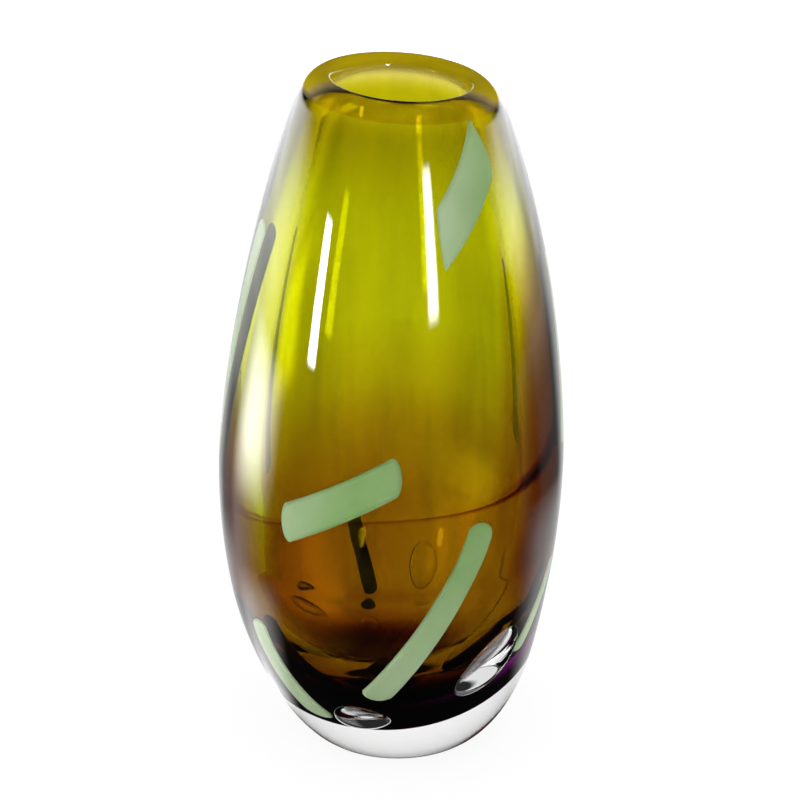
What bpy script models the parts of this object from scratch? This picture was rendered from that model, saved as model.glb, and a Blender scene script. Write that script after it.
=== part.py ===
"""Heavy cased-glass vase: an olive inner vessel in an indigo cup, mint bars, and a thick clear casing.

Metres, +Z up. The vase stands on its ground foot at z = 0, with its front towards -Y.
Angles round the vase are in degrees from the front, growing towards the right (+X).
"""
import math
from collections import namedtuple

import bmesh
import bpy
from mathutils import Vector

# Outer form
HEIGHT = 0.250
FOOT_RADIUS = 0.033
FOOT_ARRIS = 0.0008
BELLY_RADIUS = 0.0621
BELLY_HEIGHT = 0.106
SHOULDER_RADIUS = 0.036
SHOULDER_HEIGHT = 0.242
LOWER_FLARE = math.radians(40)
LOWER_HANDLES = (0.024, 0.046)
UPPER_LEAN = math.radians(19.6)
UPPER_HANDLES = (0.015, 0.0646)

# Lip: a broad shoulder up to the crest, a tight curl down into the throat, and the seam between the glasses
CREST_RADIUS = 0.0240
THROAT_HEIGHT = 0.2455
OUTER_LIP_HANDLES = (0.0050, 0.0060)
INNER_LIP_HANDLES = (0.0022, 0.0014)
SEAM_SHARE = 0.70
SEAM_GAP_SHARE = 0.025
NECK_HEIGHT = 0.243

# Wall and layers
WALL_AT_FOOT = 0.016
WALL_AT_LIP = 0.0125
CAVITY_FLOOR = 0.026
COLOUR_FLOOR = 0.014
BOWL_RIM = 0.076
BOWL_POWER = 2.2
COLOUR_WALL = 0.0035
CUP_WALL = 0.0012
CUP_FLOOR_THICKNESS = 0.006
GAP = 0.0003

# Wavy upper edge of the indigo cup: mean height, the (cosine, sine) parts of each wave round the body, and
# the angle, rise and half width of the tongue on its right side
CUP_EDGE = 0.100
EDGE_WAVES = ((0.009, 0.0055), (-0.0025, 0.002), (0.002, -0.002))
TONGUE = (math.radians(92), 0.014, math.radians(15))
WAVE_TOP = 0.170

# Hand-made shape: the axis bows, the rim tilts, and the coloured vessel sits off centre low down
AXIS_AT_FOOT = 0.0023
AXIS_AT_WAIST = -0.0006
AXIS_AT_RIM = 0.0037
WAIST_HEIGHT = 0.060
RIM_TILT = math.radians(4)
TILT_START = 0.150
INNER_SHIFT = -0.0035
INNER_SHIFT_END = 0.090
SHIFT_DEPTH = 0.004
SHIFT_BASE = 0.010

# Mint bars and air bubbles, fused between the colour and the casing
BAR_THICKNESS = 0.0012
POCKET_OVERCUT = 0.0008
BUBBLE_DEPTH = 0.0035
CORNER_SQUARENESS = 0.97
LOOK_AHEAD = 0.01

# Facets
TURNS = 48
BAR_LENGTH_STEPS = 10
BAR_WIDTH_STEPS = 4

# start and end are (angle, height); bend bows the bar sideways by a length; skew slants both ends, as a
# share of the width; taper is end width over start width; roundness runs from 0, square ends, to 1, round
Bar = namedtuple("Bar", "name start end width bend skew taper roundness")
BARS = (
    Bar("mint_bar_front_level", (-42.7, 0.1010), (3.3, 0.1261), 0.0132, 0.0000, 0.45, 1.00, 0.50),
    Bar("mint_bar_front_long", (36.0, 0.1035), (-6.0, 0.0335), 0.0100, 0.0035, 0.00, 1.00, 0.95),
    Bar("mint_bar_low_left", (-60.5, 0.0565), (-45.5, 0.0195), 0.0086, -0.0010, 0.00, 1.25, 0.95),
    Bar("mint_bar_upper_right", (19.0, 0.2043), (54.6, 0.2336), 0.0145, 0.0000, 1.05, 1.00, 0.30),
    Bar("mint_bar_left_side", (-85.5, 0.1965), (-98.0, 0.0980), 0.0085, 0.0000, 0.00, 0.90, 0.90),
    Bar("mint_bar_right_side", (96.0, 0.1840), (93.0, 0.1120), 0.0034, 0.0000, 0.00, 3.20, 0.90),
    Bar("mint_bar_right_low", (86.0, 0.0710), (66.5, 0.0410), 0.0064, 0.0000, 0.00, 1.00, 0.90),
    Bar("mint_bar_back_low", (-159.0, 0.0700), (-170.0, 0.0315), 0.0062, 0.0000, 0.00, 1.00, 0.90),
)

# place is (angle, height); lean is the long axis's angle from level, rising to the right
Bubble = namedtuple("Bubble", "place length width lean")
BUBBLES = (
    Bubble((-14.5, 0.0240), 0.0175, 0.0150, -42.0),
    Bubble((48.5, 0.0440), 0.030, 0.0160, 55.0),
    Bubble((158.0, 0.0420), 0.019, 0.0130, 85.0),
    Bubble((-127.0, 0.0380), 0.020, 0.0090, 50.0),
    Bubble((-167.0, 0.0235), 0.015, 0.0090, 88.0),
)

Finish = namedtuple("Finish", "colour roughness transmission")
CLEAR = Finish((0.86, 0.88, 0.86, 1.0), 0.03, 0.9)
OLIVE = Finish((0.40, 0.40, 0.01, 1.0), 0.05, 0.6)
INDIGO = Finish((0.05, 0.05, 0.12, 1.0), 0.05, 0.4)
MINT = Finish((0.32, 0.48, 0.27, 1.0), 0.25, 0.0)


def clamp(value, low=0.0, high=1.0):
    return min(max(value, low), high)


def smooth_step(value):
    x = clamp(value)
    return x * x * (3 - 2 * x)


# Profiles, as lists of (radius, height)

def bezier(start, start_handle, end_handle, end, steps, first=0.0, last=1.0):
    """Points of the curve between the shares first and last of the way along it."""
    points = []
    for i in range(steps + 1):
        t = first + (last - first) * i / steps
        weights = ((1 - t) ** 3, 3 * t * (1 - t) ** 2, 3 * t * t * (1 - t), t ** 3)
        corners = (start, start_handle, end_handle, end)
        radius = sum(w * c[0] for w, c in zip(weights, corners))
        height = sum(w * c[1] for w, c in zip(weights, corners))
        points.append((radius, height))
    return points


def outer_side(steps_low, steps_high):
    """The outside from the foot's edge up over the belly to the shoulder."""
    foot = (FOOT_RADIUS, 0.0)
    belly = (BELLY_RADIUS, BELLY_HEIGHT)
    shoulder = (SHOULDER_RADIUS, SHOULDER_HEIGHT)
    flare, rise = LOWER_HANDLES
    foot_handle = (foot[0] + flare * math.cos(LOWER_FLARE), flare * math.sin(LOWER_FLARE))
    belly_below = (belly[0], belly[1] - rise)
    belly_above = (belly[0], belly[1] + UPPER_HANDLES[0])
    drop = UPPER_HANDLES[1]
    shoulder_handle = (shoulder[0] + drop * math.sin(UPPER_LEAN), shoulder[1] - drop * math.cos(UPPER_LEAN))
    low = bezier(foot, foot_handle, belly_below, belly, steps_low)
    high = bezier(belly, belly_above, shoulder_handle, shoulder, steps_high)
    return low + high[1:]


TOP_OF_SIDE = (SHOULDER_RADIUS - (HEIGHT - SHOULDER_HEIGHT) * math.tan(UPPER_LEAN), HEIGHT)
SIDE = outer_side(60, 60) + [TOP_OF_SIDE]


def radius_along(profile, height):
    for (r0, z0), (r1, z1) in zip(profile, profile[1:]):
        if height <= z1:
            return r0 + (r1 - r0) * clamp((height - z0) / (z1 - z0))
    return profile[-1][0]


def outer_radius(height):
    return radius_along(SIDE, height)


def wall(height):
    return WALL_AT_FOOT + (WALL_AT_LIP - WALL_AT_FOOT) * height / SHOULDER_HEIGHT


def layer_radius(height, floor, outset):
    """Radius of a layer that keeps to the cavity wall, outset from it, and closes in a bowl at floor."""
    if height >= BOWL_RIM:
        return outer_radius(height) - wall(height) + outset
    rim = outer_radius(BOWL_RIM) - wall(BOWL_RIM) + outset
    depth = clamp((BOWL_RIM - height) / (BOWL_RIM - floor))
    return rim * (1 - depth ** BOWL_POWER) ** (1 / BOWL_POWER)


def colour_radius(height):
    return layer_radius(height, COLOUR_FLOOR, COLOUR_WALL)


def layer_side(floor, outset, top, bowl_steps, wall_steps):
    """Points up a layer from the axis at floor to the height top."""
    points = []
    for i in range(bowl_steps):
        height = floor + (BOWL_RIM - floor) * (1 - math.cos(math.pi / 2 * i / bowl_steps))
        points.append((layer_radius(height, floor, outset), height))
    for i in range(wall_steps + 1):
        height = BOWL_RIM + (top - BOWL_RIM) * i / wall_steps
        points.append((layer_radius(height, floor, outset), height))
    return points


def lip_curve(foot, handles, steps, first=0.0, last=1.0):
    """Curve from a point of a leaning wall to the crest; the second handle lies level at the crest."""
    rise, run = handles
    up_the_wall = (foot[0] - rise * math.sin(UPPER_LEAN), foot[1] + rise * math.cos(UPPER_LEAN))
    beside_crest = (CREST_RADIUS + math.copysign(run, foot[0] - CREST_RADIUS), HEIGHT)
    return bezier(foot, up_the_wall, beside_crest, (CREST_RADIUS, HEIGHT), steps, first, last)


def outer_lip(steps, first, last):
    return lip_curve((SHOULDER_RADIUS, SHOULDER_HEIGHT), OUTER_LIP_HANDLES, steps, first, last)


# The shape of the hand

def wave(angle):
    """Height of the cup's edge above its mean, at an angle in radians."""
    total = 0.0
    for turn, (cosine, sine) in enumerate(EDGE_WAVES, start=1):
        total += cosine * math.cos(turn * angle) + sine * math.sin(turn * angle)
    middle, rise, half_width = TONGUE
    return total + rise * math.exp(-((angle - middle) / half_width) ** 2)


def axis_at(height):
    if height < WAIST_HEIGHT:
        blend = (1 + math.cos(math.pi * height / WAIST_HEIGHT)) / 2
        return AXIS_AT_WAIST + (AXIS_AT_FOOT - AXIS_AT_WAIST) * blend
    blend = (1 - math.cos(math.pi * (height - WAIST_HEIGHT) / (HEIGHT - WAIST_HEIGHT))) / 2
    return AXIS_AT_WAIST + (AXIS_AT_RIM - AXIS_AT_WAIST) * blend


def angle_of(point):
    return math.atan2(point.x, -point.y)


def ride_the_wave(point):
    """Moves a point of the coloured layers up or down with the cup's edge, at its depth in the wall."""
    radius = math.hypot(point.x, point.y)
    if point.z <= BOWL_RIM or point.z >= WAVE_TOP:
        return point
    if point.z < CUP_EDGE:
        share = smooth_step((point.z - BOWL_RIM) / (CUP_EDGE - BOWL_RIM))
    else:
        share = smooth_step((WAVE_TOP - point.z) / (WAVE_TOP - CUP_EDGE))
    height = point.z + share * wave(angle_of(point))
    scale = (radius + colour_radius(height) - colour_radius(point.z)) / radius
    return Vector((point.x * scale, point.y * scale, height))


def lean(point):
    """Bows the axis, tilts the rim and sets the coloured vessel off centre."""
    inside = clamp((outer_radius(point.z) - math.hypot(point.x, point.y)) / SHIFT_DEPTH)
    inside *= clamp(point.z / SHIFT_BASE)
    shift = INNER_SHIFT * clamp(1 - point.z / INNER_SHIFT_END) * inside
    tilt = math.tan(RIM_TILT) * smooth_step((point.z - TILT_START) / (HEIGHT - TILT_START))
    return Vector((point.x + axis_at(point.z) + shift, point.y, point.z - tilt * point.x))


# Scene helpers

def clear_scene():
    for obj in list(bpy.data.objects):
        bpy.data.objects.remove(obj, do_unlink=True)


def new_collection(name):
    collection = bpy.data.collections.new(name)
    bpy.context.scene.collection.children.link(collection)
    return collection


def material(name, finish):
    mat = bpy.data.materials.new(name)
    mat.use_nodes = True
    shader = mat.node_tree.nodes["Principled BSDF"]
    shader.inputs["Base Color"].default_value = finish.colour
    shader.inputs["Roughness"].default_value = finish.roughness
    shader.inputs["Metallic"].default_value = 0.0
    shader.inputs["Transmission Weight"].default_value = finish.transmission
    mat.diffuse_color = finish.colour
    return mat


def add_object(name, mesh, collection):
    obj = bpy.data.objects.new(name, mesh)
    collection.objects.link(obj)
    return obj


def frozen(obj, collection):
    """A plain object with the shape that obj's modifiers give it; obj is removed."""
    shape = obj.evaluated_get(bpy.context.evaluated_depsgraph_get())
    mesh = bpy.data.meshes.new_from_object(shape)
    name = obj.name
    bpy.data.objects.remove(obj, do_unlink=True)
    return add_object(name, mesh, collection)


def move_vertices(mesh, *moves):
    for vertex in mesh.vertices:
        point = vertex.co.copy()
        for move in moves:
            point = move(point)
        vertex.co = point
    mesh.update()


def turned(name, profile, collection):
    """Turns a profile that runs up the inside, over the top and down the outside."""
    mesh = bpy.data.meshes.new(name)
    vertices = [(radius, 0.0, height) for radius, height in profile]
    edges = [(i, i + 1) for i in range(len(profile) - 1)]
    mesh.from_pydata(vertices, edges, [])
    obj = add_object(name, mesh, collection)
    screw = obj.modifiers.new("Turn", "SCREW")
    screw.axis = "Z"
    screw.angle = 2 * math.pi
    screw.steps = TURNS
    screw.render_steps = TURNS
    screw.use_merge_vertices = True
    screw.merge_threshold = 0.00001
    bpy.context.view_layer.update()
    return frozen(obj, collection)


def shade(obj):
    obj.data.shade_smooth()
    obj.data.set_sharp_from_angle(angle=math.radians(35))


# The vessel's three turned layers

def make_casing(collection):
    """Clear outer gather: heavy base, ovoid outside, and the outer part of the lip."""
    inside = layer_side(COLOUR_FLOOR - GAP, COLOUR_WALL + GAP, NECK_HEIGHT, 9, 11)
    lip = outer_lip(5, SEAM_SHARE - SEAM_GAP_SHARE, 0.0)
    outside = outer_side(9, 11)
    outside.reverse()
    arris = (FOOT_RADIUS - FOOT_ARRIS, 0.0)
    outside[-1] = (FOOT_RADIUS, FOOT_ARRIS)
    profile = inside + lip + outside[1:] + [arris, (0.0, 0.0)]
    obj = turned("clear_casing", profile, collection)
    move_vertices(obj.data, lean)
    return obj


def make_core(collection):
    """Olive inner vessel: the cavity, the inner part of the lip, and a rebate that seats the cup."""
    cavity = layer_side(CAVITY_FLOOR, 0.0, THROAT_HEIGHT, 8, 8)
    inner_lip = lip_curve(cavity[-1], INNER_LIP_HANDLES, 4)
    lip = inner_lip[1:] + outer_lip(2, 1.0, SEAM_SHARE)[1:]
    steps = 7
    upper = []
    for i in range(steps + 1):
        height = NECK_HEIGHT + (CUP_EDGE + GAP - NECK_HEIGHT) * i / steps
        upper.append((colour_radius(height), height))
    seat = layer_side(COLOUR_FLOOR + CUP_FLOOR_THICKNESS + GAP, COLOUR_WALL - CUP_WALL - GAP, CUP_EDGE, 8, 2)
    seat[-1] = (seat[-1][0], CUP_EDGE + GAP)
    seat.reverse()
    obj = turned("olive_core", cavity + lip + upper + seat, collection)
    move_vertices(obj.data, ride_the_wave, lean)
    return obj


def make_cup(collection):
    """Indigo cup round the lower body, thick at its floor, with a wavy upper edge."""
    inside = layer_side(COLOUR_FLOOR + CUP_FLOOR_THICKNESS, COLOUR_WALL - CUP_WALL, CUP_EDGE, 8, 2)
    outside = layer_side(COLOUR_FLOOR, COLOUR_WALL, CUP_EDGE, 8, 2)
    outside.reverse()
    obj = turned("indigo_cup", inside + outside, collection)
    move_vertices(obj.data, ride_the_wave, lean)
    return obj


# Mint bars and bubbles on the colour's outer face

def colour_point(angle, height):
    """A point on the coloured layers' outer face, at an angle in radians."""
    radius = colour_radius(height)
    return Vector((radius * math.sin(angle), -radius * math.cos(angle), height))


def surface_normal(angle, height):
    step = 0.0005
    up = colour_point(angle, height + step) - colour_point(angle, height - step)
    round_body = Vector((math.cos(angle), math.sin(angle), 0.0))
    return round_body.cross(up).normalized()


def on_colour(angle, height, outset):
    return colour_point(angle, height) + surface_normal(angle, height) * outset


def bar_centre(bar, along):
    """Angle and height on a bar's centre line; along runs from 0 to 1."""
    angle = math.radians(bar.start[0] + (bar.end[0] - bar.start[0]) * along)
    height = bar.start[1] + (bar.end[1] - bar.start[1]) * along
    return angle, height


def bar_sheet(bar, name, outset, grow):
    """Curved sheet on the colour with the bar's outline, made larger by grow on every side."""
    bm = bmesh.new()
    bmesh.ops.create_grid(bm, x_segments=BAR_LENGTH_STEPS, y_segments=BAR_WIDTH_STEPS, size=1.0)
    first, middle, last = (colour_point(*bar_centre(bar, along)) for along in (0.0, 0.5, 1.0))
    length = (middle - first).length + (last - middle).length
    for vertex in bm.verts:
        across = vertex.co.y
        end = vertex.co.x
        width = bar.width * (1 + (bar.taper - 1) * (1 + end) / 2) / 2
        corner = bar.roundness * width * (1 - math.sqrt(1 - (CORNER_SQUARENESS * across) ** 2))
        slide = end * grow - math.copysign(corner * end ** 4, end) + bar.skew * width * across
        along = (1 + end) / 2 + slide / length
        centre = colour_point(*bar_centre(bar, along))
        ahead = colour_point(*bar_centre(bar, along + LOOK_AHEAD))
        side = surface_normal(*bar_centre(bar, along)).cross(ahead - centre).normalized()
        point = centre + side * (across * (width + grow) + bar.bend * (1 - end * end))
        vertex.co = on_colour(angle_of(point), point.z, outset)
    mesh = bpy.data.meshes.new(name)
    bm.to_mesh(mesh)
    bm.free()
    return mesh


def bar_solid(bar, name, outset, grow, thickness, collection):
    obj = add_object(name, bar_sheet(bar, name, outset, grow), collection)
    solidify = obj.modifiers.new("Thickness", "SOLIDIFY")
    solidify.thickness = thickness
    solidify.offset = 1.0
    solidify.use_even_offset = True
    bpy.context.view_layer.update()
    solid = frozen(obj, collection)
    move_vertices(solid.data, lean)
    return solid


def make_bubble_cutter(index, bubble, collection):
    """Lens whose outer half is pressed into the casing's inner face."""
    angle = math.radians(bubble.place[0])
    height = bubble.place[1]
    normal = surface_normal(angle, height)
    level = Vector((math.cos(angle), math.sin(angle), 0.0))
    up = normal.cross(level)
    tilt = math.radians(bubble.lean)
    long_axis = level * math.cos(tilt) + up * math.sin(tilt)
    short_axis = normal.cross(long_axis)
    centre = on_colour(angle, height, GAP)
    bm = bmesh.new()
    bmesh.ops.create_uvsphere(bm, u_segments=16, v_segments=8, radius=1.0)
    for vertex in bm.verts:
        along = long_axis * (vertex.co.x * bubble.length / 2)
        across = short_axis * (vertex.co.y * bubble.width / 2)
        vertex.co = centre + along + across + normal * (vertex.co.z * BUBBLE_DEPTH)
    mesh = bpy.data.meshes.new(f"bubble_cutter_{index}")
    bm.to_mesh(mesh)
    bm.free()
    move_vertices(mesh, lean)
    return add_object(mesh.name, mesh, collection)


def hide_cutters(collection):
    for cutter in collection.objects:
        cutter.hide_render = True
        cutter.display_type = "WIRE"


def main():
    clear_scene()
    parts = new_collection("graal_glass_vase")
    cutters = new_collection("cutters")

    casing = make_casing(parts)
    core = make_core(parts)
    cup = make_cup(parts)
    casing.data.materials.append(material("clear_glass", CLEAR))
    core.data.materials.append(material("olive_glass", OLIVE))
    cup.data.materials.append(material("indigo_glass", INDIGO))

    pocket_depth = POCKET_OVERCUT + 2 * GAP + BAR_THICKNESS
    for bar in BARS:
        solid = bar_solid(bar, bar.name, GAP, 0.0, BAR_THICKNESS, parts)
        solid.data.materials.append(material(bar.name, MINT))
        shade(solid)
        bar_solid(bar, f"{bar.name}_pocket", -POCKET_OVERCUT, GAP, pocket_depth, cutters)
    for index, bubble in enumerate(BUBBLES, start=1):
        make_bubble_cutter(index, bubble, cutters)
    hide_cutters(cutters)

    pockets = casing.modifiers.new("Pockets", "BOOLEAN")
    pockets.operation = "DIFFERENCE"
    pockets.operand_type = "COLLECTION"
    pockets.collection = cutters
    pockets.solver = "EXACT"
    for obj in (casing, core, cup):
        shade(obj)


main()
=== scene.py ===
"""Looks of a heavy cased-glass vase: an olive bowl in an indigo cup under clear glass, with mint bars.

Metres, +Z up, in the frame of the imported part: foot at z = 0, front towards -Y. Angles round the vase are
counted from the front, growing towards the right (+X). The clear glass is one body with the cavity and the
bubbles as hollows in it, and the coloured glasses are shells inside it that only absorb light.
"""
import math
from collections import namedtuple

import bpy
import numpy as np
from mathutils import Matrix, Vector


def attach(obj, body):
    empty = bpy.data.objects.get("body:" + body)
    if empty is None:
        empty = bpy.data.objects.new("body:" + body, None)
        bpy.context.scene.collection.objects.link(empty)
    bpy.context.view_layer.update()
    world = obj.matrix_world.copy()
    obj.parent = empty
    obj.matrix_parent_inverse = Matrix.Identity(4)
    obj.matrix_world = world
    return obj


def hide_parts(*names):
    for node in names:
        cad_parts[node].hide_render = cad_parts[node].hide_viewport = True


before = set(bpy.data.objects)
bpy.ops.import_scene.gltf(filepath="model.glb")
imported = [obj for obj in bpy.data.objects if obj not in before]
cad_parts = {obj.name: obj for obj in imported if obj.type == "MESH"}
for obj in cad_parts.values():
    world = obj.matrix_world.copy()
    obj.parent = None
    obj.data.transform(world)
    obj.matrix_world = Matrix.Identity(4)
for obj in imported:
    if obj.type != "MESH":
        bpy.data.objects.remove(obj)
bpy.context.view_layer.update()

# Outer form, with the rounded arris between the foot and the side
HEIGHT = 0.250
FOOT_RADIUS = 0.033
FOOT_ARRIS = 0.0008
ARRIS_RUN = 0.0006
BELLY_RADIUS = 0.0621
BELLY_HEIGHT = 0.106
SHOULDER_RADIUS = 0.036
SHOULDER_HEIGHT = 0.242
LOWER_FLARE = math.radians(40)
LOWER_HANDLES = (0.024, 0.046)
UPPER_LEAN = math.radians(19.6)
UPPER_HANDLES = (0.015, 0.0646)

# Lip: a broad shoulder up to the crest and a tight curl down into the throat
CREST_RADIUS = 0.0260
THROAT_HEIGHT = 0.2440
OUTER_LIP_HANDLES = (0.0050, 0.0050)
INNER_LIP_HANDLES = (0.0030, 0.0022)

# Wall and layers
WALL_AT_FOOT = 0.016
WALL_AT_LIP = 0.0125
CAVITY_FLOOR = 0.026
COLOUR_FLOOR = 0.014
BOWL_RIM = 0.076
BOWL_POWER = 2.2
COLOUR_WALL = 0.0035
SKIN = 0.00008

# Wavy upper edge of the indigo cup: mean height, the (cosine, sine) parts of each wave round the body, and
# the angle, rise and half width of the tongue on its right side
CUP_EDGE = 0.100
EDGE_WAVES = ((0.009, 0.0055), (-0.0025, 0.002), (0.002, -0.002))
TONGUE = (math.radians(92), 0.014, math.radians(15))

# Hand-made shape: the axis bows, the rim tilts, and the coloured vessel sits off centre low down. TRIM scales
# x, y and z at the end, so that the vase stays inside the box of the solids.
AXIS_AT_FOOT = 0.0023
AXIS_AT_WAIST = -0.0006
AXIS_AT_RIM = 0.0037
WAIST_HEIGHT = 0.060
RIM_TILT = math.radians(4)
TILT_START = 0.150
INNER_SHIFT = -0.0035
INNER_SHIFT_END = 0.090
SHIFT_DEPTH = 0.004
SHIFT_BASE = 0.010
TRIM = (0.998, 0.998, 0.9995)

# Olive glass: its thickness at the belly, at the neck and over the lip, the heights between which that
# changes, and the share of the outer lip that it covers
OLIVE_BELLY = 0.0018
OLIVE_NECK = 0.0029
OLIVE_GROWS = (0.195, 0.230)
OLIVE_LIP = 0.0009
OLIVE_THINS = (0.234, 0.2440)
OLIVE_LIP_SHARE = 0.80

# Indigo glass, as (height, thickness): thick at its floor, thin in front, and on the far side thicker and
# feathered out up to FEATHER_TOP. FAR_TURN holds the cosines of the angles between which the front's film
# gives way to the far one. Below the heights THIN_BELOW the far film is thinner at the right, and thicker at
# the left, by the share THIN_RIGHT. RIGHT_BEAD is how much more of the edge's bead there is at the right,
# and BEAD_REACH is how many half heights the bead reaches down.
FRONT_FILM = ((0.014, 0.0062), (0.021, 0.0050), (0.026, 0.0024), (0.032, 0.0009), (0.045, 0.0006),
              (0.070, 0.0005), (0.086, 0.00033), (0.102, 0.0002), (0.125, 0.00012))
FAR_FILM = ((0.014, 0.0062), (0.020, 0.0042), (0.026, 0.0018), (0.035, 0.0012), (0.066, 0.0015),
            (0.082, 0.00112), (0.098, 0.0008), (0.115, 0.00032), (0.131, 0.00012), (0.140, 0.00002))
FAR_TURN = (0.35, -0.35)
THIN_RIGHT = 0.32
THIN_BELOW = (0.100, 0.085)
FEATHER_TOP = 0.140
CUP_BEAD = 0.0007
RIGHT_BEAD = 5.0
BEAD_HALF_HEIGHT = 0.0006
BEAD_REACH = 5

# Where the indigo was drawn up the flanks: middle, half width and soft edge are angles in degrees. The films
# come in between the heights SHOULDER_FOOT.
Shoulder = namedtuple("Shoulder", "middle half_width soft top thickness")
SHOULDERS = (
    Shoulder(84.0, 44.0, 30.0, 0.215, 0.0008),
    Shoulder(-84.0, 24.0, 20.0, 0.150, 0.0005),
)
SHOULDER_FOOT = (0.055, 0.085)

# Mint bars and air bubbles between the colour and the casing. A higher power keeps a bar's crown flat for
# longer, along and across it, and its round corners nearer to its ends.
GAP = 0.0003
BAR_THICKNESS = 0.0012
CROWN_POWERS = (16, 8)
CORNER_POWER = 4
CORNER_SQUARENESS = 0.97
LOOK_AHEAD = 0.01
NORMAL_STEP = 0.0005

# Fine meshes: points round the vase, along and across a bar and a bubble, and steps up each part of a profile
TURNS = 256
BAR_GRID = (64, 20)
BUBBLE_GRID = (48, 24)
SIDE_STEPS = (120, 120)
OUTSIDE_STEPS = (90, 110)
CAVITY_STEPS = 70
INNER_LIP_STEPS = 20
OUTER_LIP_STEPS = 40
ARRIS_STEPS = 5
FOOT_STEPS = 14
INDIGO_STEPS = (90, 11, 25)

# start and end are (angle, height); bend bows the bar sideways by a length; skew slants both ends, as a
# share of the width; taper is end width over start width; roundness runs from 0, square ends, to 1, round
Bar = namedtuple("Bar", "name start end width bend skew taper roundness")
BARS = (
    Bar("mint_bar_front_level", (-42.7, 0.1010), (3.3, 0.1261), 0.0132, 0.0000, 0.45, 1.00, 0.50),
    Bar("mint_bar_front_long", (36.0, 0.1035), (-6.0, 0.0335), 0.0100, 0.0035, 0.00, 1.00, 0.95),
    Bar("mint_bar_low_left", (-60.5, 0.0565), (-45.5, 0.0195), 0.0086, -0.0010, 0.00, 1.25, 0.95),
    Bar("mint_bar_upper_right", (19.0, 0.2043), (54.6, 0.2336), 0.0145, 0.0000, 1.05, 1.00, 0.30),
    Bar("mint_bar_left_side", (-85.5, 0.1965), (-98.0, 0.0980), 0.0085, 0.0000, 0.00, 0.90, 0.90),
    Bar("mint_bar_right_side", (96.0, 0.1840), (93.0, 0.1120), 0.0034, 0.0000, 0.00, 3.20, 0.90),
    Bar("mint_bar_right_low", (86.0, 0.0710), (66.5, 0.0410), 0.0064, 0.0000, 0.00, 1.00, 0.90),
    Bar("mint_bar_back_low", (-159.0, 0.0700), (-170.0, 0.0315), 0.0062, 0.0000, 0.00, 1.00, 0.90),
)

# place is (angle, height); lean is the long axis's angle from level; point is how pointed the ends are
Bubble = namedtuple("Bubble", "place length width depth lean point")
BUBBLES = (
    Bubble((-14.5, 0.0243), 0.0178, 0.0180, 0.0036, -42.0, 0.50),
    Bubble((48.5, 0.0435), 0.031, 0.0200, 0.0030, 55.0, 0.52),
    Bubble((158.0, 0.0420), 0.019, 0.0130, 0.0034, 85.0, 0.50),
    Bubble((-127.0, 0.0380), 0.020, 0.0090, 0.0034, 50.0, 0.60),
    Bubble((-167.0, 0.0235), 0.015, 0.0090, 0.0034, 88.0, 0.50),
)

# Photograph
IMAGE_SIZE = 800
FOCAL_PIXELS = 2798.0
SENSOR_WIDTH = 36.0
CAMERA_TARGET = Vector((0.0, 0.0, 0.125))
CAMERA_DISTANCE = 1.0
CAMERA_ELEVATION = math.radians(25.02)
TARGET_PIXEL = (391.0, 410.7)

# Optics
GLASS_IOR = 1.5
OLIVE_DENSITY = 1900.0
OLIVE_COLOUR = (0.9008, 0.9040, 0.0550)
INDIGO_DENSITY = 1350.0
INDIGO_COLOUR = (0.63, 0.18, 0.62)

# Hand-worked surface: the slow ripple of the clear glass, the cords in the colour, and the ground foot ring
RIPPLE_SCALE = 22.0
RIPPLE_HEIGHT = 0.0001
CORD_SCALE = (90.0, 90.0, 14.0)
CORD_BAND = (0.45, 0.65)
CORD_TINT = (0.94, 0.94, 0.94)
GROUND_HEIGHT = 0.0012
GROUND_RADIUS = (0.026, 0.031)
GROUND_ROUGHNESS = 0.25

# Olive glass at the neck, with a tint that comes in between two levels, and at the lip, with painted light:
# an opaque gold that stands in for the light shining through the far part of the lip. It comes in between two
# levels and two places along y, and goes out between two radii.
NECK_BLUSH = (0.210, 0.238)
NECK_BLUSH_TINT = (0.95, 0.82, 0.85)
LIP_PAINTED_LIGHT = (0.2430, 0.2475)
LIP_PAINTED_LIGHT_SHARE = 0.85
LIP_PAINTED_LIGHT_TURN = (-0.020, -0.008)
LIP_PAINTED_LIGHT_EDGE = (0.0355, 0.0330)
LIP_PAINTED_LIGHT_COLOUR = (1.0, 0.80, 0.01)

# Mint glass: the deep and the pale green, its coarse clouds and fine grain, painted light that makes it paler
# towards the left, a painted reflection of the bright table that makes it paler low down, and how pale it is
# at the tip of the upper right bar
MINT_DEEP = (0.34, 0.62, 0.18)
MINT_PALE = (0.72, 0.94, 0.55)
MINT_ROUGHNESS = 0.4
CLOUD_SCALE = 70.0
CLOUD_BAND = (0.35, 0.70)
CLOUD_SHARE = 0.14
GRAIN_SCALE = 600.0
GRAIN_DETAIL = 4.0
GRAIN_SHARE = 0.10
LEFT_PAINTED_LIGHT = (-0.015, -0.036)
LEFT_PAINTED_LIGHT_SHARE = 0.55
LOW_PAINTED_REFLECTION = (0.095, 0.040)
LOW_PAINTED_REFLECTION_SHARE = 0.80
PALE_TIP = (0.033, 0.014)
PALE_TIP_FROM = (0.17, 0.19)
PALE_TIP_SHARE = 0.85

# Studio: levels of the room and of the bright table, and the angles from +Y between which they change.
# HORIZON and OVERHEAD hold heights of a direction, as sines, between which the world changes.
WHITE_LEVEL = 1.0
WORLD_LEVEL = 1.0
BACKDROP_LEVEL = 1.0
TABLE_LEVEL = 1.0
ROOM_LEVEL = 0.02
OVERHEAD_LEVEL = 0.5
OVERHEAD = (0.45, 0.8)
HORIZON = (0.12, 0.0)
BRIGHT_BACK = (math.radians(98), math.radians(70))
DARK_FRONT = (math.radians(140), math.radians(165))
FLOOR_SIZE = 6.0
FLOOR_COLOUR = 0.9
FLOOR_LEVEL = 1.06
GLOW_SHARE = 0.85

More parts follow.
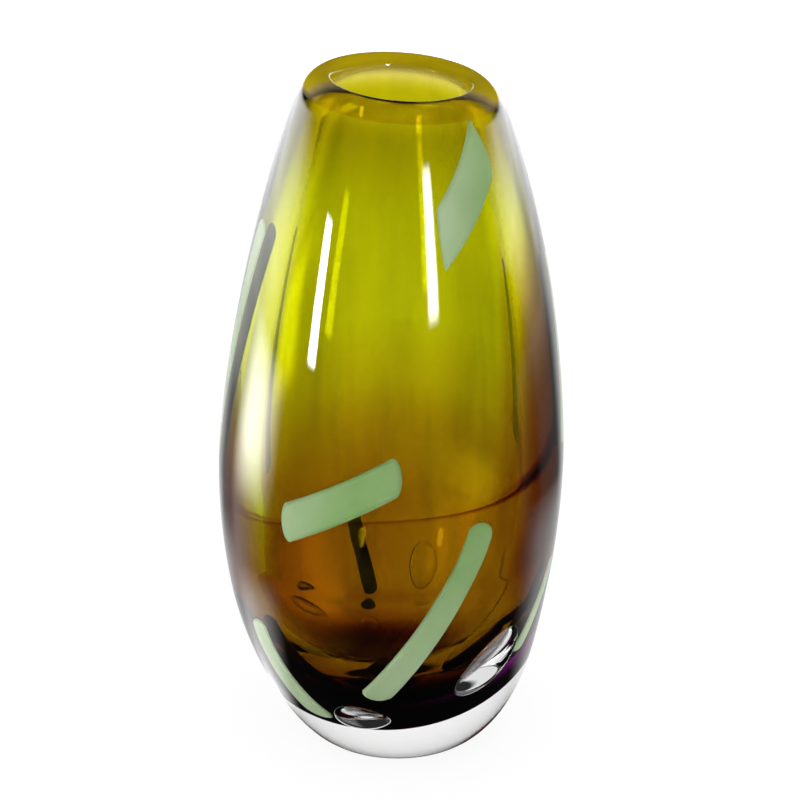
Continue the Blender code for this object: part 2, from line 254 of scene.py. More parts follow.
# Patches of light on the table: side is -1 left, 1 right, 0 both; turn (from +Y) and reach each hold the
# start and end of the rise, then those of the fall; level is what the patch adds, or takes away where it is
# negative. PATCH_SEAM is half the width of the soft seam of a one-sided patch.
PATCH_SEAM = 0.01
Patch = namedtuple("Patch", "side turn reach level")
SEEN_THROUGH = (
    Patch(0, (20, 36, 60, 75), (0.42, 0.65, 5.0, 6.0), 0.9),
    Patch(1, (8, 18, 22, 34), (0.06, 0.10, 0.17, 0.24), 0.5),
    Patch(0, (5, 14, 22, 36), (0.20, 0.26, 0.40, 0.55), -0.22),
    Patch(-1, (20, 26, 31, 40), (0.30, 0.37, 0.48, 0.62), 1.3),
    Patch(-1, (14, 22, 34, 46), (0.05, 0.08, 0.14, 0.19), 0.8),
    Patch(0, (-2, -1, 181, 182), (-0.02, -0.01, 0.03, 0.08), -0.5),
)
THROWN_BACK = (
    Patch(-1, (58, 80, 84, 106), (0.23, 0.50, 0.62, 1.15), 11.0),
    Patch(-1, (60, 85, 94, 114), (0.035, 0.055, 0.115, 0.17), 1.6),
    Patch(-1, (35, 48, 58, 70), (0.15, 0.22, 0.40, 0.55), -0.5),
    Patch(1, (35, 50, 75, 95), (0.18, 0.26, 0.60, 0.85), -0.7),
    Patch(1, (40, 55, 100, 115), (0.62, 0.90, 1.6, 2.6), -1.2),
)

# The table's level in the outer surface's mirror, by distance from the vase
MIRRORED_REACH = ((0.10, 0.8), (0.45, 0.9), (0.70, 1.3), (0.95, 2.0), (1.80, 3.4))

# Cards of light: angle round from the front, distance from the axis, height of the middle
Card = namedtuple("Card", "name angle distance middle width height edge level")
CARDS = (
    Card("strip_left", -59.0, 1.0, 0.189, 0.13, 0.273, 0.025, 50.0),
    Card("strip_right", 25.5, 1.0, 0.325, 0.17, 0.36, 0.050, 30.0),
)


# Profiles, as arrays of (radius, height)

def bezier(start, start_handle, end_handle, end, steps):
    t = np.linspace(0, 1, steps + 1)[:, None]
    corners = [np.array(c) for c in (start, start_handle, end_handle, end)]
    weights = ((1 - t) ** 3, 3 * t * (1 - t) ** 2, 3 * t * t * (1 - t), t ** 3)
    return sum(w * c for w, c in zip(weights, corners))


def outer_side(steps_low, steps_high):
    """The outside from the foot's edge up over the belly to the shoulder."""
    foot = (FOOT_RADIUS, 0.0)
    belly = (BELLY_RADIUS, BELLY_HEIGHT)
    shoulder = (SHOULDER_RADIUS, SHOULDER_HEIGHT)
    flare, rise = LOWER_HANDLES
    foot_handle = (foot[0] + flare * math.cos(LOWER_FLARE), flare * math.sin(LOWER_FLARE))
    belly_below = (belly[0], belly[1] - rise)
    belly_above = (belly[0], belly[1] + UPPER_HANDLES[0])
    drop = UPPER_HANDLES[1]
    shoulder_handle = (shoulder[0] + drop * math.sin(UPPER_LEAN), shoulder[1] - drop * math.cos(UPPER_LEAN))
    low = bezier(foot, foot_handle, belly_below, belly, steps_low)
    high = bezier(belly, belly_above, shoulder_handle, shoulder, steps_high)
    return np.vstack([low, high[1:]])


TOP_OF_SIDE = (SHOULDER_RADIUS - (HEIGHT - SHOULDER_HEIGHT) * math.tan(UPPER_LEAN), HEIGHT)
SIDE = np.vstack([outer_side(*SIDE_STEPS), TOP_OF_SIDE])


def outer_radius(height):
    return np.interp(height, SIDE[:, 1], SIDE[:, 0])


def wall(height):
    return WALL_AT_FOOT + (WALL_AT_LIP - WALL_AT_FOOT) * height / SHOULDER_HEIGHT


def layer_radius(height, floor, outset):
    """Radius of a layer that keeps to the cavity wall, outset from it, and closes in a bowl at floor."""
    height = np.asarray(height, dtype=float)
    upper = outer_radius(height) - wall(height) + outset
    rim = outer_radius(BOWL_RIM) - wall(BOWL_RIM) + outset
    depth = np.clip((BOWL_RIM - height) / (BOWL_RIM - floor), 0, 1)
    bowl = rim * (1 - depth ** BOWL_POWER) ** (1 / BOWL_POWER)
    return np.where(height >= BOWL_RIM, upper, bowl)


def colour_radius(height):
    return layer_radius(height, COLOUR_FLOOR, COLOUR_WALL)


def lip_curve(foot, handles, steps):
    """Curve from a point of a leaning wall to the crest; the second handle lies level at the crest."""
    rise, run = handles
    up_the_wall = (foot[0] - rise * math.sin(UPPER_LEAN), foot[1] + rise * math.cos(UPPER_LEAN))
    beside_crest = (CREST_RADIUS + math.copysign(run, foot[0] - CREST_RADIUS), HEIGHT)
    return bezier(foot, up_the_wall, beside_crest, (CREST_RADIUS, HEIGHT), steps)


def smooth_step(value):
    x = np.clip(value, 0, 1)
    return x * x * (3 - 2 * x)


def wave(angle):
    """Height of the cup's edge above its mean, at an angle in radians."""
    total = 0.0
    for turn, (cosine, sine) in enumerate(EDGE_WAVES, start=1):
        total = total + cosine * np.cos(turn * angle) + sine * np.sin(turn * angle)
    middle, rise, half_width = TONGUE
    return total + rise * np.exp(-((angle - middle) / half_width) ** 2)


def axis_at(height):
    low = (1 + np.cos(math.pi * np.clip(height / WAIST_HEIGHT, 0, 1))) / 2
    high = (1 - np.cos(math.pi * np.clip((height - WAIST_HEIGHT) / (HEIGHT - WAIST_HEIGHT), 0, 1))) / 2
    below = AXIS_AT_WAIST + (AXIS_AT_FOOT - AXIS_AT_WAIST) * low
    above = AXIS_AT_WAIST + (AXIS_AT_RIM - AXIS_AT_WAIST) * high
    return np.where(height < WAIST_HEIGHT, below, above)


def lean(points):
    """Bows the axis, tilts the rim and sets the coloured vessel off centre, for an array of points."""
    x, y, z = points[..., 0], points[..., 1], points[..., 2]
    inside = np.clip((outer_radius(z) - np.hypot(x, y)) / SHIFT_DEPTH, 0, 1) * np.clip(z / SHIFT_BASE, 0, 1)
    shift = INNER_SHIFT * np.clip(1 - z / INNER_SHIFT_END, 0, 1) * inside
    tilt = math.tan(RIM_TILT) * smooth_step((z - TILT_START) / (HEIGHT - TILT_START))
    return np.stack([x * TRIM[0] + axis_at(z) + shift, y * TRIM[1], (z - tilt * x) * TRIM[2]], axis=-1)


# Mesh helpers

def ring_points(radius, height, angle):
    radius, height, angle = np.broadcast_arrays(radius, height, angle)
    return np.stack([radius * np.sin(angle), -radius * np.cos(angle), height], axis=-1)


def grid_faces(rows, columns, wrap, first=0):
    """Quads of a grid whose columns run round the vase, closed where wrap is set."""
    faces = []
    across = columns if wrap else columns - 1
    for i in range(rows - 1):
        for j in range(across):
            k = (j + 1) % columns
            a, b = first + i * columns + j, first + i * columns + k
            faces.append((a, a + columns, b + columns, b))
    return faces


def closed_skin(points, first=0):
    """Vertices and faces of rings of points, whose first and last rings are drawn together to a point."""
    rows, columns = points.shape[:2]
    inner = points[1:-1].reshape(-1, 3)
    start, end = points[0].mean(axis=0), points[-1].mean(axis=0)
    vertices = np.vstack([inner, start, end])
    faces = grid_faces(rows - 2, columns, True, first)
    start_index, end_index = first + len(inner), first + len(inner) + 1
    last_row = first + (rows - 3) * columns
    for j in range(columns):
        k = (j + 1) % columns
        faces.append((start_index, first + j, first + k))
        faces.append((end_index, last_row + k, last_row + j))
    return vertices, faces


def add_piece(name, vertices, faces):
    mesh = bpy.data.meshes.new(name)
    mesh.from_pydata([tuple(v) for v in vertices], [], faces)
    mesh.validate()
    mesh.shade_smooth()
    obj = bpy.data.objects.new(name, mesh)
    bpy.context.scene.collection.objects.link(obj)
    return obj


def turn_angles():
    return np.linspace(-math.pi, math.pi, TURNS, endpoint=False)[None, :]


def turned(profile):
    """Rings of points for a profile of (radius, height), shaped by the hand."""
    return lean(ring_points(profile[:, 0][:, None], profile[:, 1][:, None], turn_angles()))


def inset(profile, depth):
    """The profile moved into the glass, which lies on its right-hand side, by depth at each point."""
    along = np.gradient(profile, axis=0)
    along /= np.linalg.norm(along, axis=1, keepdims=True)
    moved = profile + np.stack([along[:, 1], -along[:, 0]], axis=1) * np.reshape(depth, (-1, 1))
    moved[:, 0] = np.maximum(moved[:, 0], 0.0)
    return moved


# Turned shapes, as profiles from the axis up the inside, over the top and down the outside

def bowl_heights(floor, top, steps):
    """Heights that crowd towards the bowl's floor, from floor to top."""
    s = np.linspace(0, 1, steps)
    low = floor + (BOWL_RIM - floor) * (1 - np.cos(math.pi / 2 * s))
    high = BOWL_RIM + (top - BOWL_RIM) * s[1:]
    return np.concatenate([low, high])


def cavity_and_lip():
    height = bowl_heights(CAVITY_FLOOR, THROAT_HEIGHT, CAVITY_STEPS)
    cavity = np.stack([layer_radius(height, CAVITY_FLOOR, 0.0), height], axis=1)
    inner_lip = lip_curve(cavity[-1], INNER_LIP_HANDLES, INNER_LIP_STEPS)[1:]
    shoulder = (SHOULDER_RADIUS, SHOULDER_HEIGHT)
    outer_lip = lip_curve(shoulder, OUTER_LIP_HANDLES, OUTER_LIP_STEPS)[::-1][1:-1]
    return cavity, inner_lip, outer_lip


def body_profile():
    outside = outer_side(*OUTSIDE_STEPS)[::-1]
    corner = outside[-1]
    foot_edge = (FOOT_RADIUS - FOOT_ARRIS, 0.0)
    arris = bezier(corner + (ARRIS_RUN, FOOT_ARRIS), corner, corner, foot_edge, ARRIS_STEPS)
    foot = np.array([[r, 0.0] for r in np.linspace(FOOT_RADIUS - FOOT_ARRIS, 0.0, FOOT_STEPS)[1:]])
    outside = outside[outside[:, 1] > 1.5 * FOOT_ARRIS]
    return np.vstack([*cavity_and_lip(), outside, arris, foot])


def olive_thickness(height):
    low, high = OLIVE_GROWS
    body = OLIVE_BELLY + (OLIVE_NECK - OLIVE_BELLY) * smooth_step((height - low) / (high - low))
    low, high = OLIVE_THINS
    return body + (OLIVE_LIP - body) * smooth_step((height - low) / (high - low))


def olive_rings():
    cavity, inner_lip, outer_lip = cavity_and_lip()
    covered = outer_lip[:round(len(outer_lip) * OLIVE_LIP_SHARE)]
    skin = np.vstack([cavity, inner_lip, covered])
    fade = np.sqrt(np.linspace(1, 0, len(covered)))
    over_lip = np.concatenate([np.full(len(inner_lip), OLIVE_LIP), SKIN + OLIVE_LIP * fade])
    depth = np.concatenate([olive_thickness(cavity[:, 1]), over_lip])
    return turned(np.vstack([inset(skin, SKIN), inset(skin, SKIN + depth)[::-1]]))


def film(table, height):
    """Thickness at a height, from a table of (height, thickness)."""
    heights, thicknesses = zip(*table)
    return np.interp(height, heights, thicknesses)


def shoulder_share(shoulder, angle):
    """1 where a shoulder is whole and 0 beyond its soft edges."""
    inside = shoulder.half_width - np.abs(np.degrees(angle) - shoulder.middle)
    return smooth_step(inside / shoulder.soft)


def indigo_heights(edge, top):
    """Heights at each angle, from the floor up to the bead's foot, the wavy edge and the film's top."""
    low_steps, bead_steps, high_steps = INDIGO_STEPS
    bead_foot = edge - BEAD_REACH * BEAD_HALF_HEIGHT
    s = np.linspace(0, 1, low_steps)[:, None]
    low = COLOUR_FLOOR + (bead_foot - COLOUR_FLOOR) * (1 - np.cos(math.pi / 2 * s))
    middle = bead_foot + (edge - bead_foot) * np.linspace(0, 1, bead_steps)[1:, None]
    high = edge + (top - edge) * np.linspace(0, 1, high_steps)[1:, None]
    return np.concatenate([low, middle, high])


def indigo_thickness(angle, height, edge, top, far, drawn):
    """Thickness of the front and far films, of the bead on the edge and of what was drawn up the flanks."""
    bead = CUP_BEAD * np.exp(-((height - edge) / BEAD_HALF_HEIGHT) ** 2)
    bead = bead * (1 + RIGHT_BEAD * np.clip(np.sin(angle), 0, 1) ** 2)
    fade = np.where(height > edge, smooth_step((top - height) / (top - edge)), 1.0)
    above, below = THIN_BELOW
    uneven = 1 - THIN_RIGHT * np.sin(angle) * smooth_step((above - height) / (above - below))
    front_film = (film(FRONT_FILM, height) + bead) * fade
    thickness = film(FAR_FILM, height) * uneven * far + front_film * (1 - far)
    foot, full = SHOULDER_FOOT
    grown = smooth_step((height - foot) / (full - foot))
    for shoulder, share in zip(SHOULDERS, drawn):
        thickness = thickness + shoulder.thickness * share * grown * fade
    return thickness


def indigo_rings():
    angle = turn_angles()
    edge = CUP_EDGE + wave(angle)
    start, end = FAR_TURN
    far = smooth_step((start - np.cos(angle)) / (start - end))
    drawn = [shoulder_share(shoulder, angle) for shoulder in SHOULDERS]
    rises = [far * np.maximum(FEATHER_TOP - edge, 0.0)]
    for shoulder, share in zip(SHOULDERS, drawn):
        rises.append(share * np.maximum(shoulder.top - edge, 0.0))
    top = edge + BEAD_HALF_HEIGHT + np.maximum.reduce(rises)
    height = indigo_heights(edge, top)
    radius = colour_radius(height)
    thickness = indigo_thickness(angle, height, edge, top, far, drawn)
    along_radius = np.gradient(radius, axis=0)
    along_height = np.gradient(height, axis=0)
    length = np.hypot(along_radius, along_height)

    def moved_in(depth):
        inner_radius = np.maximum(radius - depth * along_height / length, 0.0)
        return ring_points(inner_radius, height + depth * along_radius / length, angle)

    return lean(np.concatenate([moved_in(SKIN + thickness), moved_in(SKIN)[::-1]]))


# Bars and bubbles on the colour's outer face

def colour_point(angle, height):
    return ring_points(colour_radius(height), height, angle)


def unit(vectors):
    return vectors / np.linalg.norm(vectors, axis=-1, keepdims=True)


def surface_normal(angle, height):
    up = colour_point(angle, height + NORMAL_STEP) - colour_point(angle, height - NORMAL_STEP)
    angle = np.broadcast_to(angle, up.shape[:-1])
    around = np.stack([np.cos(angle), np.sin(angle), np.zeros_like(angle)], axis=-1)
    return unit(np.cross(around, up))


def on_colour(angle, height, outset):
    return colour_point(angle, height) + surface_normal(angle, height) * np.asarray(outset)[..., None]


def angle_of(points):
    return np.arctan2(points[..., 0], -points[..., 1])


def bar_centre(bar, along):
    angle = np.radians(bar.start[0] + (bar.end[0] - bar.start[0]) * along)
    height = bar.start[1] + (bar.end[1] - bar.start[1]) * along
    return angle, height


def pillow_faces(rows, columns):
    """Faces of two like grids of vertices, the second under the first, closed round their rim."""
    count = rows * columns
    faces = grid_faces(rows, columns, False)
    faces += [tuple(reversed([count + i for i in face])) for face in grid_faces(rows, columns, False)]
    rim = [(i, 0) for i in range(rows)] + [(rows - 1, j) for j in range(1, columns)]
    rim += [(i, columns - 1) for i in range(rows - 2, -1, -1)] + [(0, j) for j in range(columns - 2, 0, -1)]
    loop = [i * columns + j for i, j in rim]
    for a, b in zip(loop, loop[1:] + loop[:1]):
        faces.append((a, b, count + b, count + a))
    return faces


def make_bar(bar):
    """Flat pillow of opaque glass with the bar's outline, bent to the coloured body."""
    steps = [np.linspace(-1, 1, points) for points in BAR_GRID]
    end, across = np.meshgrid(*steps, indexing="ij")
    first, middle, last = (colour_point(*bar_centre(bar, along)) for along in (0.0, 0.5, 1.0))
    length = np.linalg.norm(middle - first) + np.linalg.norm(last - middle)
    width = bar.width * (1 + (bar.taper - 1) * (1 + end) / 2) / 2
    corner = bar.roundness * width * (1 - np.sqrt(1 - (CORNER_SQUARENESS * across) ** 2))
    slide = -np.copysign(corner * end ** CORNER_POWER, end) + bar.skew * width * across
    along = (1 + end) / 2 + slide / length
    centre = colour_point(*bar_centre(bar, along))
    ahead = colour_point(*bar_centre(bar, along + LOOK_AHEAD))
    side = unit(np.cross(surface_normal(*bar_centre(bar, along)), ahead - centre))
    point = centre + side * (across * width + bar.bend * (1 - end * end))[..., None]
    angle = angle_of(point)
    height = point[..., 2]
    along_power, across_power = CROWN_POWERS
    crown = ((1 - end ** along_power) * (1 - across ** across_power)) ** 0.5
    top = lean(on_colour(angle, height, GAP + BAR_THICKNESS * crown))
    bottom = lean(on_colour(angle, height, np.full_like(end, GAP)))
    vertices = np.vstack([top.reshape(-1, 3), bottom.reshape(-1, 3)])
    return add_piece(f"{bar.name}_glass", vertices, pillow_faces(*BAR_GRID))


def bubble_rings(bubble):
    """Rings of points of an air bubble that lies against the colour with its flatter side."""
    angle = math.radians(bubble.place[0])
    height = bubble.place[1]
    normal = surface_normal(angle, height)
    level = np.array([math.cos(angle), math.sin(angle), 0.0])
    up = np.cross(normal, level)
    tilt = math.radians(bubble.lean)
    long_axis = level * math.cos(tilt) + up * math.sin(tilt)
    short_axis = np.cross(normal, long_axis)
    s = -np.cos(np.linspace(0, math.pi, BUBBLE_GRID[0]))[:, None]
    around = np.linspace(0, 2 * math.pi, BUBBLE_GRID[1], endpoint=False)[None, :]
    spread = np.clip(1 - s * s, 0, 1) ** bubble.point
    lengthwise = long_axis * (s * bubble.length / 2)[..., None]
    sideways = short_axis * (spread * np.cos(around) * bubble.width / 2)[..., None]
    flat = colour_point(angle, height) + lengthwise + sideways
    rise = GAP + bubble.depth * spread * (1 + np.sin(around)) / 2
    return lean(on_colour(angle_of(flat), flat[..., 2], rise))


def make_body():
    """Clear glass, with the cavity open at the lip and the bubbles as hollows."""
    vertices, faces = closed_skin(turned(body_profile()))
    for bubble in BUBBLES:
        more, hollow = closed_skin(bubble_rings(bubble), len(vertices))
        vertices = np.vstack([vertices, more])
        faces += hollow
    return add_piece("clear_glass_body", vertices, faces)


# Node helpers

class Maths:
    """Builds sums in a node tree from numbers and sockets."""

    def __init__(self, tree):
        self.tree = tree

    def value(self, operation, *inputs, clamp=False):
        node = self.tree.nodes.new("ShaderNodeMath")
        node.operation = operation
        node.use_clamp = clamp
        for socket, given in zip(node.inputs, inputs):
            if isinstance(given, (int, float)):
                socket.default_value = given
            else:
                self.tree.links.new(given, socket)
        return node.outputs[0]

    def product(self, *factors):
        result = factors[0]
        for factor in factors[1:]:
            result = self.value("MULTIPLY", result, factor)
        return result

    def length(self, x, y):
        return self.value("SQRT", self.value("ADD", self.product(x, x), self.product(y, y)))

    def turn(self, x, y):
        """Angle from +Y, alike at the left and the right."""
        return self.value("ABSOLUTE", self.value("ARCTAN2", x, y))

    def band(self, value, start, end):
        """0 before start and 1 after end, smooth between them; start may be the larger."""
        node = self.tree.nodes.new("ShaderNodeMapRange")
        node.interpolation_type = "SMOOTHSTEP"
        self.tree.links.new(value, node.inputs["Value"])
        node.inputs["From Min"].default_value = start
        node.inputs["From Max"].default_value = end
        return node.outputs["Result"]

    def mix(self, share, first, second):
        """first where share is 0 and second where it is 1."""
        rest = self.value("SUBTRACT", 1.0, share)
        return self.value("ADD", self.value("MULTIPLY", rest, first), self.value("MULTIPLY", share, second))

    def split(self, vector):
        node = self.tree.nodes.new("ShaderNodeSeparateXYZ")
        self.tree.links.new(vector, node.inputs[0])
        return node.outputs

    def noise(self, place, scale, detail=2.0):
        """Cloudy values about 0.5; scale may differ along x, y and z."""
        mapping = self.tree.nodes.new("ShaderNodeMapping")
        self.tree.links.new(place, mapping.inputs["Vector"])
        mapping.inputs["Scale"].default_value = scale if isinstance(scale, tuple) else (scale, scale, scale)
        node = self.tree.nodes.new("ShaderNodeTexNoise")
        node.inputs["Scale"].default_value = 1.0
        node.inputs["Detail"].default_value = detail
        self.tree.links.new(mapping.outputs["Vector"], node.inputs["Vector"])
        return node.outputs["Fac"]

    def colour_mix(self, share, first, second):
        """Mix of two colours, each given as numbers or as a socket."""
        node = self.tree.nodes.new("ShaderNodeMix")
        node.data_type = "RGBA"
        colours = [socket for socket in node.inputs if socket.type == "RGBA"]
        self.tree.links.new(share, node.inputs[0])
        for socket, given in zip(colours, (first, second)):
            if isinstance(given, tuple):
                socket.default_value = (*given, 1.0)
            else:
                self.tree.links.new(given, socket)
        return next(socket for socket in node.outputs if socket.type == "RGBA")

    def colour_product(self, first, second):
        node = self.tree.nodes.new("ShaderNodeVectorMath")
        node.operation = "MULTIPLY"
        self.tree.links.new(first, node.inputs[0])
        self.tree.links.new(second, node.inputs[1])
        return node.outputs["Vector"]


def new_material(name):
    mat = bpy.data.materials.new(name)
    mat.use_nodes = True
    place = mat.node_tree.nodes.new("ShaderNodeTexCoord").outputs["Object"]
    return mat, mat.node_tree.nodes["Principled BSDF"], Maths(mat.node_tree), place


# Materials

def clear_glass():
    """Colourless glass with a slow hand-worked ripple and a finely ground foot ring."""
    mat, shader, maths, place = new_material("clear_glass")
    shader.inputs["Base Color"].default_value = (1.0, 1.0, 1.0, 1.0)
    shader.inputs["IOR"].default_value = GLASS_IOR
    shader.inputs["Transmission Weight"].default_value = 1.0
    bump = mat.node_tree.nodes.new("ShaderNodeBump")
    bump.inputs["Distance"].default_value = RIPPLE_HEIGHT
    mat.node_tree.links.new(maths.noise(place, RIPPLE_SCALE), bump.inputs["Height"])
    mat.node_tree.links.new(bump.outputs["Normal"], shader.inputs["Normal"])
    x, y, z = maths.split(place)
    low = maths.band(z, GROUND_HEIGHT, 0.0)
    outer = maths.band(maths.length(x, y), *GROUND_RADIUS)
    mat.node_tree.links.new(maths.product(low, outer, GROUND_ROUGHNESS), shader.inputs["Roughness"])
    return mat


def absorbing_glass(name, colour, density):
    """Glass that only absorbs, with faint cords drawn out along the height."""
    mat, shader, maths, place = new_material(name)
    shader.inputs["Roughness"].default_value = 0.0
    shader.inputs["IOR"].default_value = 1.0
    shader.inputs["Transmission Weight"].default_value = 1.0
    cords = maths.band(maths.noise(place, CORD_SCALE), *CORD_BAND)
    tint = maths.colour_mix(cords, (1.0, 1.0, 1.0), CORD_TINT)
    mat.node_tree.links.new(tint, shader.inputs["Base Color"])
    volume = mat.node_tree.nodes.new("ShaderNodeVolumeAbsorption")
    volume.inputs["Color"].default_value = (*colour, 1.0)
    volume.inputs["Density"].default_value = density
    output = mat.node_tree.nodes["Material Output"]
    mat.node_tree.links.new(volume.outputs["Volume"], output.inputs["Volume"])
    return mat, shader, maths, place, tint


def indigo_glass():
    mat, *_ = absorbing_glass("indigo_glass", INDIGO_COLOUR, INDIGO_DENSITY)
    return mat


def olive_glass():
    """Olive glass, tinted at the neck, with painted light over the far part of the lip: an opaque gold for
    the light shining through it.
    """
    mat, shader, maths, place, tint = absorbing_glass("olive_glass", OLIVE_COLOUR, OLIVE_DENSITY)
    x, y, z = maths.split(place)
    level = maths.value("ADD", z, maths.product(x, math.tan(RIM_TILT)))
    radius = maths.length(maths.value("SUBTRACT", x, AXIS_AT_RIM), y)
    # painted light: an opaque gold over the far part of the lip stands in for the light shining through it
    painted_light_share = maths.product(maths.band(level, *LIP_PAINTED_LIGHT), maths.band(y, *LIP_PAINTED_LIGHT_TURN),
                               maths.band(radius, *LIP_PAINTED_LIGHT_EDGE))
    blushed = maths.colour_mix(maths.band(level, *NECK_BLUSH), (1.0, 1.0, 1.0), NECK_BLUSH_TINT)
    colour = maths.colour_mix(painted_light_share, maths.colour_product(tint, blushed), LIP_PAINTED_LIGHT_COLOUR)
    mat.node_tree.links.new(colour, shader.inputs["Base Color"])
    # the painted light takes most of the glass's clearness away over the far part of the lip
    clear = maths.value("SUBTRACT", 1.0, maths.product(painted_light_share, LIP_PAINTED_LIGHT_SHARE))
    mat.node_tree.links.new(clear, shader.inputs["Transmission Weight"])
    return mat


def mint_glass():
    """Opaque mint green, mottled in two sizes and paler at the tip of the upper right bar, with painted light
    that pales it towards the left and a painted reflection that pales it low down.
    """
    mat, shader, maths, place = new_material("mint_glass")
    x, _, z = maths.split(place)
    clouds = maths.band(maths.noise(place, CLOUD_SCALE), *CLOUD_BAND)
    grain = maths.noise(place, GRAIN_SCALE, GRAIN_DETAIL)
    tip = maths.product(maths.band(x, *PALE_TIP), maths.band(z, *PALE_TIP_FROM), PALE_TIP_SHARE)
    # painted reflection of the bright table: paler low down
    low = maths.product(maths.band(z, *LOW_PAINTED_REFLECTION), LOW_PAINTED_REFLECTION_SHARE)
    # painted light from the left: paler towards the left
    left = maths.product(maths.band(x, *LEFT_PAINTED_LIGHT), LEFT_PAINTED_LIGHT_SHARE)
    pale = maths.value("ADD", maths.product(clouds, CLOUD_SHARE), maths.product(grain, GRAIN_SHARE))
    # adds the tip's paleness, the painted reflection low down and the painted light at the left to the
    # mottling
    for share in (tip, low, left):
        pale = maths.value("ADD", pale, share, clamp=True)
    mat.node_tree.links.new(maths.colour_mix(pale, MINT_DEEP, MINT_PALE), shader.inputs["Base Color"])
    shader.inputs["Roughness"].default_value = MINT_ROUGHNESS
    return mat


# Studio

def ray_kinds(tree):
    """Sockets that are 1 for camera rays, for rays that passed glass and for rays thrown back by it."""
    path = tree.nodes.new("ShaderNodeLightPath")
    maths = Maths(tree)
    passed = path.outputs["Is Transmission Ray"]
    thrown = maths.value("SUBTRACT", path.outputs["Is Glossy Ray"], passed, clamp=True)
    return path.outputs["Is Camera Ray"], passed, thrown


def stage_material(name):
    """Empty material, with its node tree and a builder of sums in it."""
    mat = bpy.data.materials.new(name)
    mat.use_nodes = True
    tree = mat.node_tree
    tree.nodes.remove(tree.nodes["Principled BSDF"])
    return mat, tree, Maths(tree)


def show_mix(tree, share, first, second):
    """Makes the surface a mix of two shaders, first where share is 0 and second where it is 1."""
    mix = tree.nodes.new("ShaderNodeMixShader")
    tree.links.new(share, mix.inputs[0])
    tree.links.new(first.outputs[0], mix.inputs[1])
    tree.links.new(second.outputs[0], mix.inputs[2])
    tree.links.new(mix.outputs[0], tree.nodes["Material Output"].inputs["Surface"])


def make_world():
    world = bpy.data.worlds.new("studio")
    world.use_nodes = True
    bpy.context.scene.world = world
    tree = world.node_tree
    maths = Maths(tree)
    x, y, z = maths.split(tree.nodes.new("ShaderNodeTexCoord").outputs["Generated"])
    turn = maths.turn(x, y)
    passed_level = maths.mix(maths.band(turn, *DARK_FRONT), BACKDROP_LEVEL, ROOM_LEVEL)
    passed_level = maths.mix(maths.band(z, *OVERHEAD), passed_level, OVERHEAD_LEVEL)
    horizon = maths.product(maths.band(z, *HORIZON), maths.band(turn, *BRIGHT_BACK))
    _, farthest_level = MIRRORED_REACH[-1]
    thrown_level = maths.mix(horizon, ROOM_LEVEL, farthest_level)
    camera, passed, thrown = ray_kinds(tree)
    level = maths.mix(passed, WORLD_LEVEL, passed_level)
    level = maths.mix(thrown, level, thrown_level)
    level = maths.mix(camera, level, WHITE_LEVEL)
    background = tree.nodes["Background"]
    background.inputs["Color"].default_value = (1.0, 1.0, 1.0, 1.0)
    tree.links.new(level, background.inputs["Strength"])


def patch_level(maths, patch, x, turn, reach):
    """What a patch adds to the table's level."""
    turn_in, turn_full, turn_fades, turn_out = (math.radians(angle) for angle in patch.turn)
    reach_in, reach_full, reach_fades, reach_out = patch.reach
    mask = maths.product(maths.band(turn, turn_in, turn_full), maths.band(turn, turn_out, turn_fades),
                         maths.band(reach, reach_in, reach_full), maths.band(reach, reach_out, reach_fades))
    if patch.side:
        seam = PATCH_SEAM * patch.side
        mask = maths.product(mask, maths.band(x, -seam, seam))
    return maths.product(mask, patch.level)


def floor_material():
    """Table that throws scattered light on, and shows levels of its own to the camera and through glass."""
    mat, tree, maths = stage_material("floor")
    x, y, _ = maths.split(tree.nodes.new("ShaderNodeNewGeometry").outputs["Position"])
    turn = maths.turn(x, y)
    reach = maths.length(x, y)
    passed_level = maths.mix(maths.band(turn, *DARK_FRONT), TABLE_LEVEL, ROOM_LEVEL)
    for patch in SEEN_THROUGH:
        passed_level = maths.value("ADD", passed_level, patch_level(maths, patch, x, turn, reach))
    _, mirrored = MIRRORED_REACH[0]
    for (near, near_level), (far, far_level) in zip(MIRRORED_REACH, MIRRORED_REACH[1:]):
        rise = maths.product(maths.band(reach, near, far), far_level - near_level)
        mirrored = maths.value("ADD", mirrored, rise)
    thrown_level = maths.mix(maths.band(turn, *BRIGHT_BACK), ROOM_LEVEL, mirrored)
    for patch in THROWN_BACK:
        thrown_level = maths.value("ADD", thrown_level, patch_level(maths, patch, x, turn, reach))
    camera, passed, thrown = ray_kinds(tree)
    level = maths.mix(passed, FLOOR_LEVEL, maths.value("MAXIMUM", passed_level, ROOM_LEVEL))
    level = maths.mix(thrown, level, maths.value("MAXIMUM", thrown_level, ROOM_LEVEL))
    glow = tree.nodes.new("ShaderNodeEmission")
    tree.links.new(level, glow.inputs["Strength"])
    diffuse = tree.nodes.new("ShaderNodeBsdfDiffuse")
    diffuse.inputs["Color"].default_value = (FLOOR_COLOUR, FLOOR_COLOUR, FLOOR_COLOUR, 1.0)
    seen = maths.value("MAXIMUM", maths.value("MAXIMUM", passed, thrown), maths.product(camera, GLOW_SHARE))
    show_mix(tree, seen, diffuse, glow)
    return mat


def stage_plane(name, width, height, mat):
    mesh = bpy.data.meshes.new(name)
    w, h = width / 2, height / 2
    mesh.from_pydata([(-w, -h, 0), (w, -h, 0), (w, h, 0), (-w, h, 0)], [], [(0, 1, 2, 3)])
    mesh.materials.append(mat)
    plane = bpy.data.objects.new(name, mesh)
    bpy.context.scene.collection.objects.link(plane)
    return plane


def card_material(name, width, height, edge, level):
    """Light that fades out over the width edge along the card's four sides."""
    mat, tree, maths = stage_material(name)
    x, y, _ = maths.split(tree.nodes.new("ShaderNodeTexCoord").outputs["Object"])
    masks = []
    for socket, size in ((x, width), (y, height)):
        masks.append(maths.band(maths.value("ABSOLUTE", socket), size / 2, size / 2 - edge))
    glow = tree.nodes.new("ShaderNodeEmission")
    glow.inputs["Strength"].default_value = level
    clear = tree.nodes.new("ShaderNodeBsdfTransparent")
    show_mix(tree, maths.product(*masks), clear, glow)
    return mat


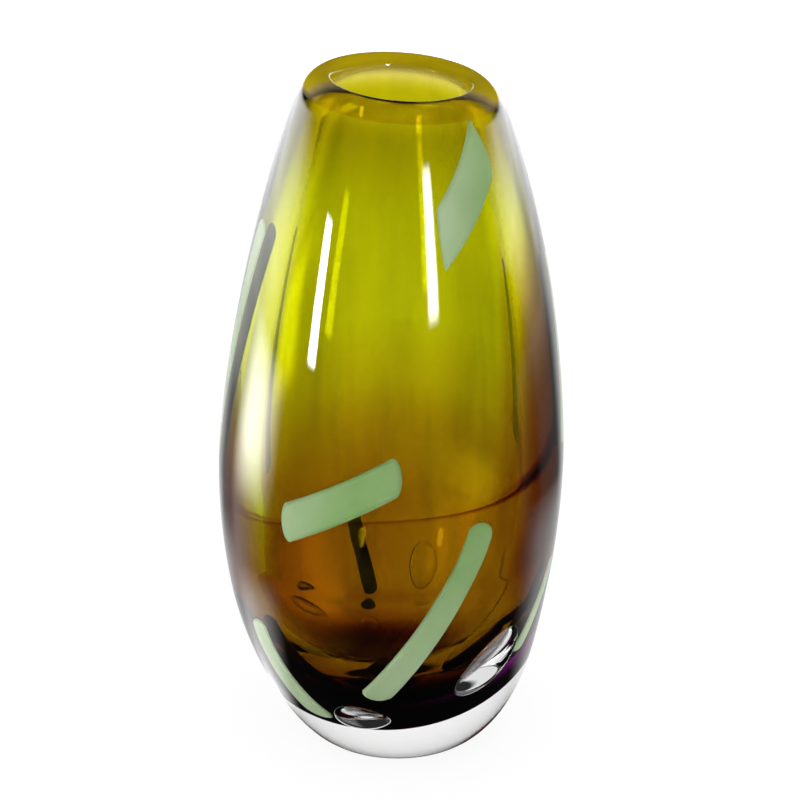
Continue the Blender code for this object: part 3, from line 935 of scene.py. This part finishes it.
def make_card(card):
    """Card of light that only glass and glaze see, turned to face the vase."""
    mat = card_material(card.name, card.width, card.height, card.edge, card.level)
    plane = stage_plane(card.name, card.width, card.height, mat)
    angle = math.radians(card.angle)
    plane.location = (card.distance * math.sin(angle), -card.distance * math.cos(angle), card.middle)
    plane.rotation_euler = (math.pi / 2, 0.0, angle)
    plane.visible_camera = False
    plane.visible_diffuse = False
    plane.visible_shadow = False


def make_floor():
    stage_plane("floor", FLOOR_SIZE, FLOOR_SIZE, floor_material())


def make_camera():
    data = bpy.data.cameras.new("camera")
    data.sensor_width = SENSOR_WIDTH
    data.lens = FOCAL_PIXELS / IMAGE_SIZE * SENSOR_WIDTH
    camera = bpy.data.objects.new("camera", data)
    bpy.context.scene.collection.objects.link(camera)
    back = Vector((0.0, -math.cos(CAMERA_ELEVATION), math.sin(CAMERA_ELEVATION)))
    camera.location = CAMERA_TARGET + back * CAMERA_DISTANCE
    right = Vector((1.0, 0.0, 0.0))
    up = back.cross(right)
    middle = IMAGE_SIZE / 2
    aim = CAMERA_TARGET + right * ((middle - TARGET_PIXEL[0]) / FOCAL_PIXELS * CAMERA_DISTANCE)
    aim += up * ((TARGET_PIXEL[1] - middle) / FOCAL_PIXELS * CAMERA_DISTANCE)
    camera.rotation_euler = (aim - camera.location).to_track_quat("-Z", "Y").to_euler()
    bpy.context.scene.camera = camera


def stand_in(piece, slot, *nodes):
    """Lets the piece ride the vase's only body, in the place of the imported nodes."""
    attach(piece, "root")
    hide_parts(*nodes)


def main():
    body = make_body()
    body.data.materials.append(clear_glass())
    stand_in(body, "clear_glass", "clear_casing")
    olive = add_piece("olive_glass_bowl", *closed_skin(olive_rings()))
    olive.data.materials.append(olive_glass())
    stand_in(olive, "olive_glass", "olive_core")
    indigo = add_piece("indigo_glass_cup", *closed_skin(indigo_rings()))
    indigo.data.materials.append(indigo_glass())
    stand_in(indigo, "indigo_glass", "indigo_cup")
    mint = mint_glass()
    for bar in BARS:
        piece = make_bar(bar)
        piece.data.materials.append(mint)
        stand_in(piece, "mint_glass", bar.name)
    make_world()
    make_floor()
    for card in CARDS:
        make_card(card)
    make_camera()
    scene = bpy.context.scene
    scene.view_settings.view_transform = "Standard"
    scene.cycles.max_bounces = 48
    scene.cycles.transmission_bounces = 40
    scene.cycles.glossy_bounces = 16


main()
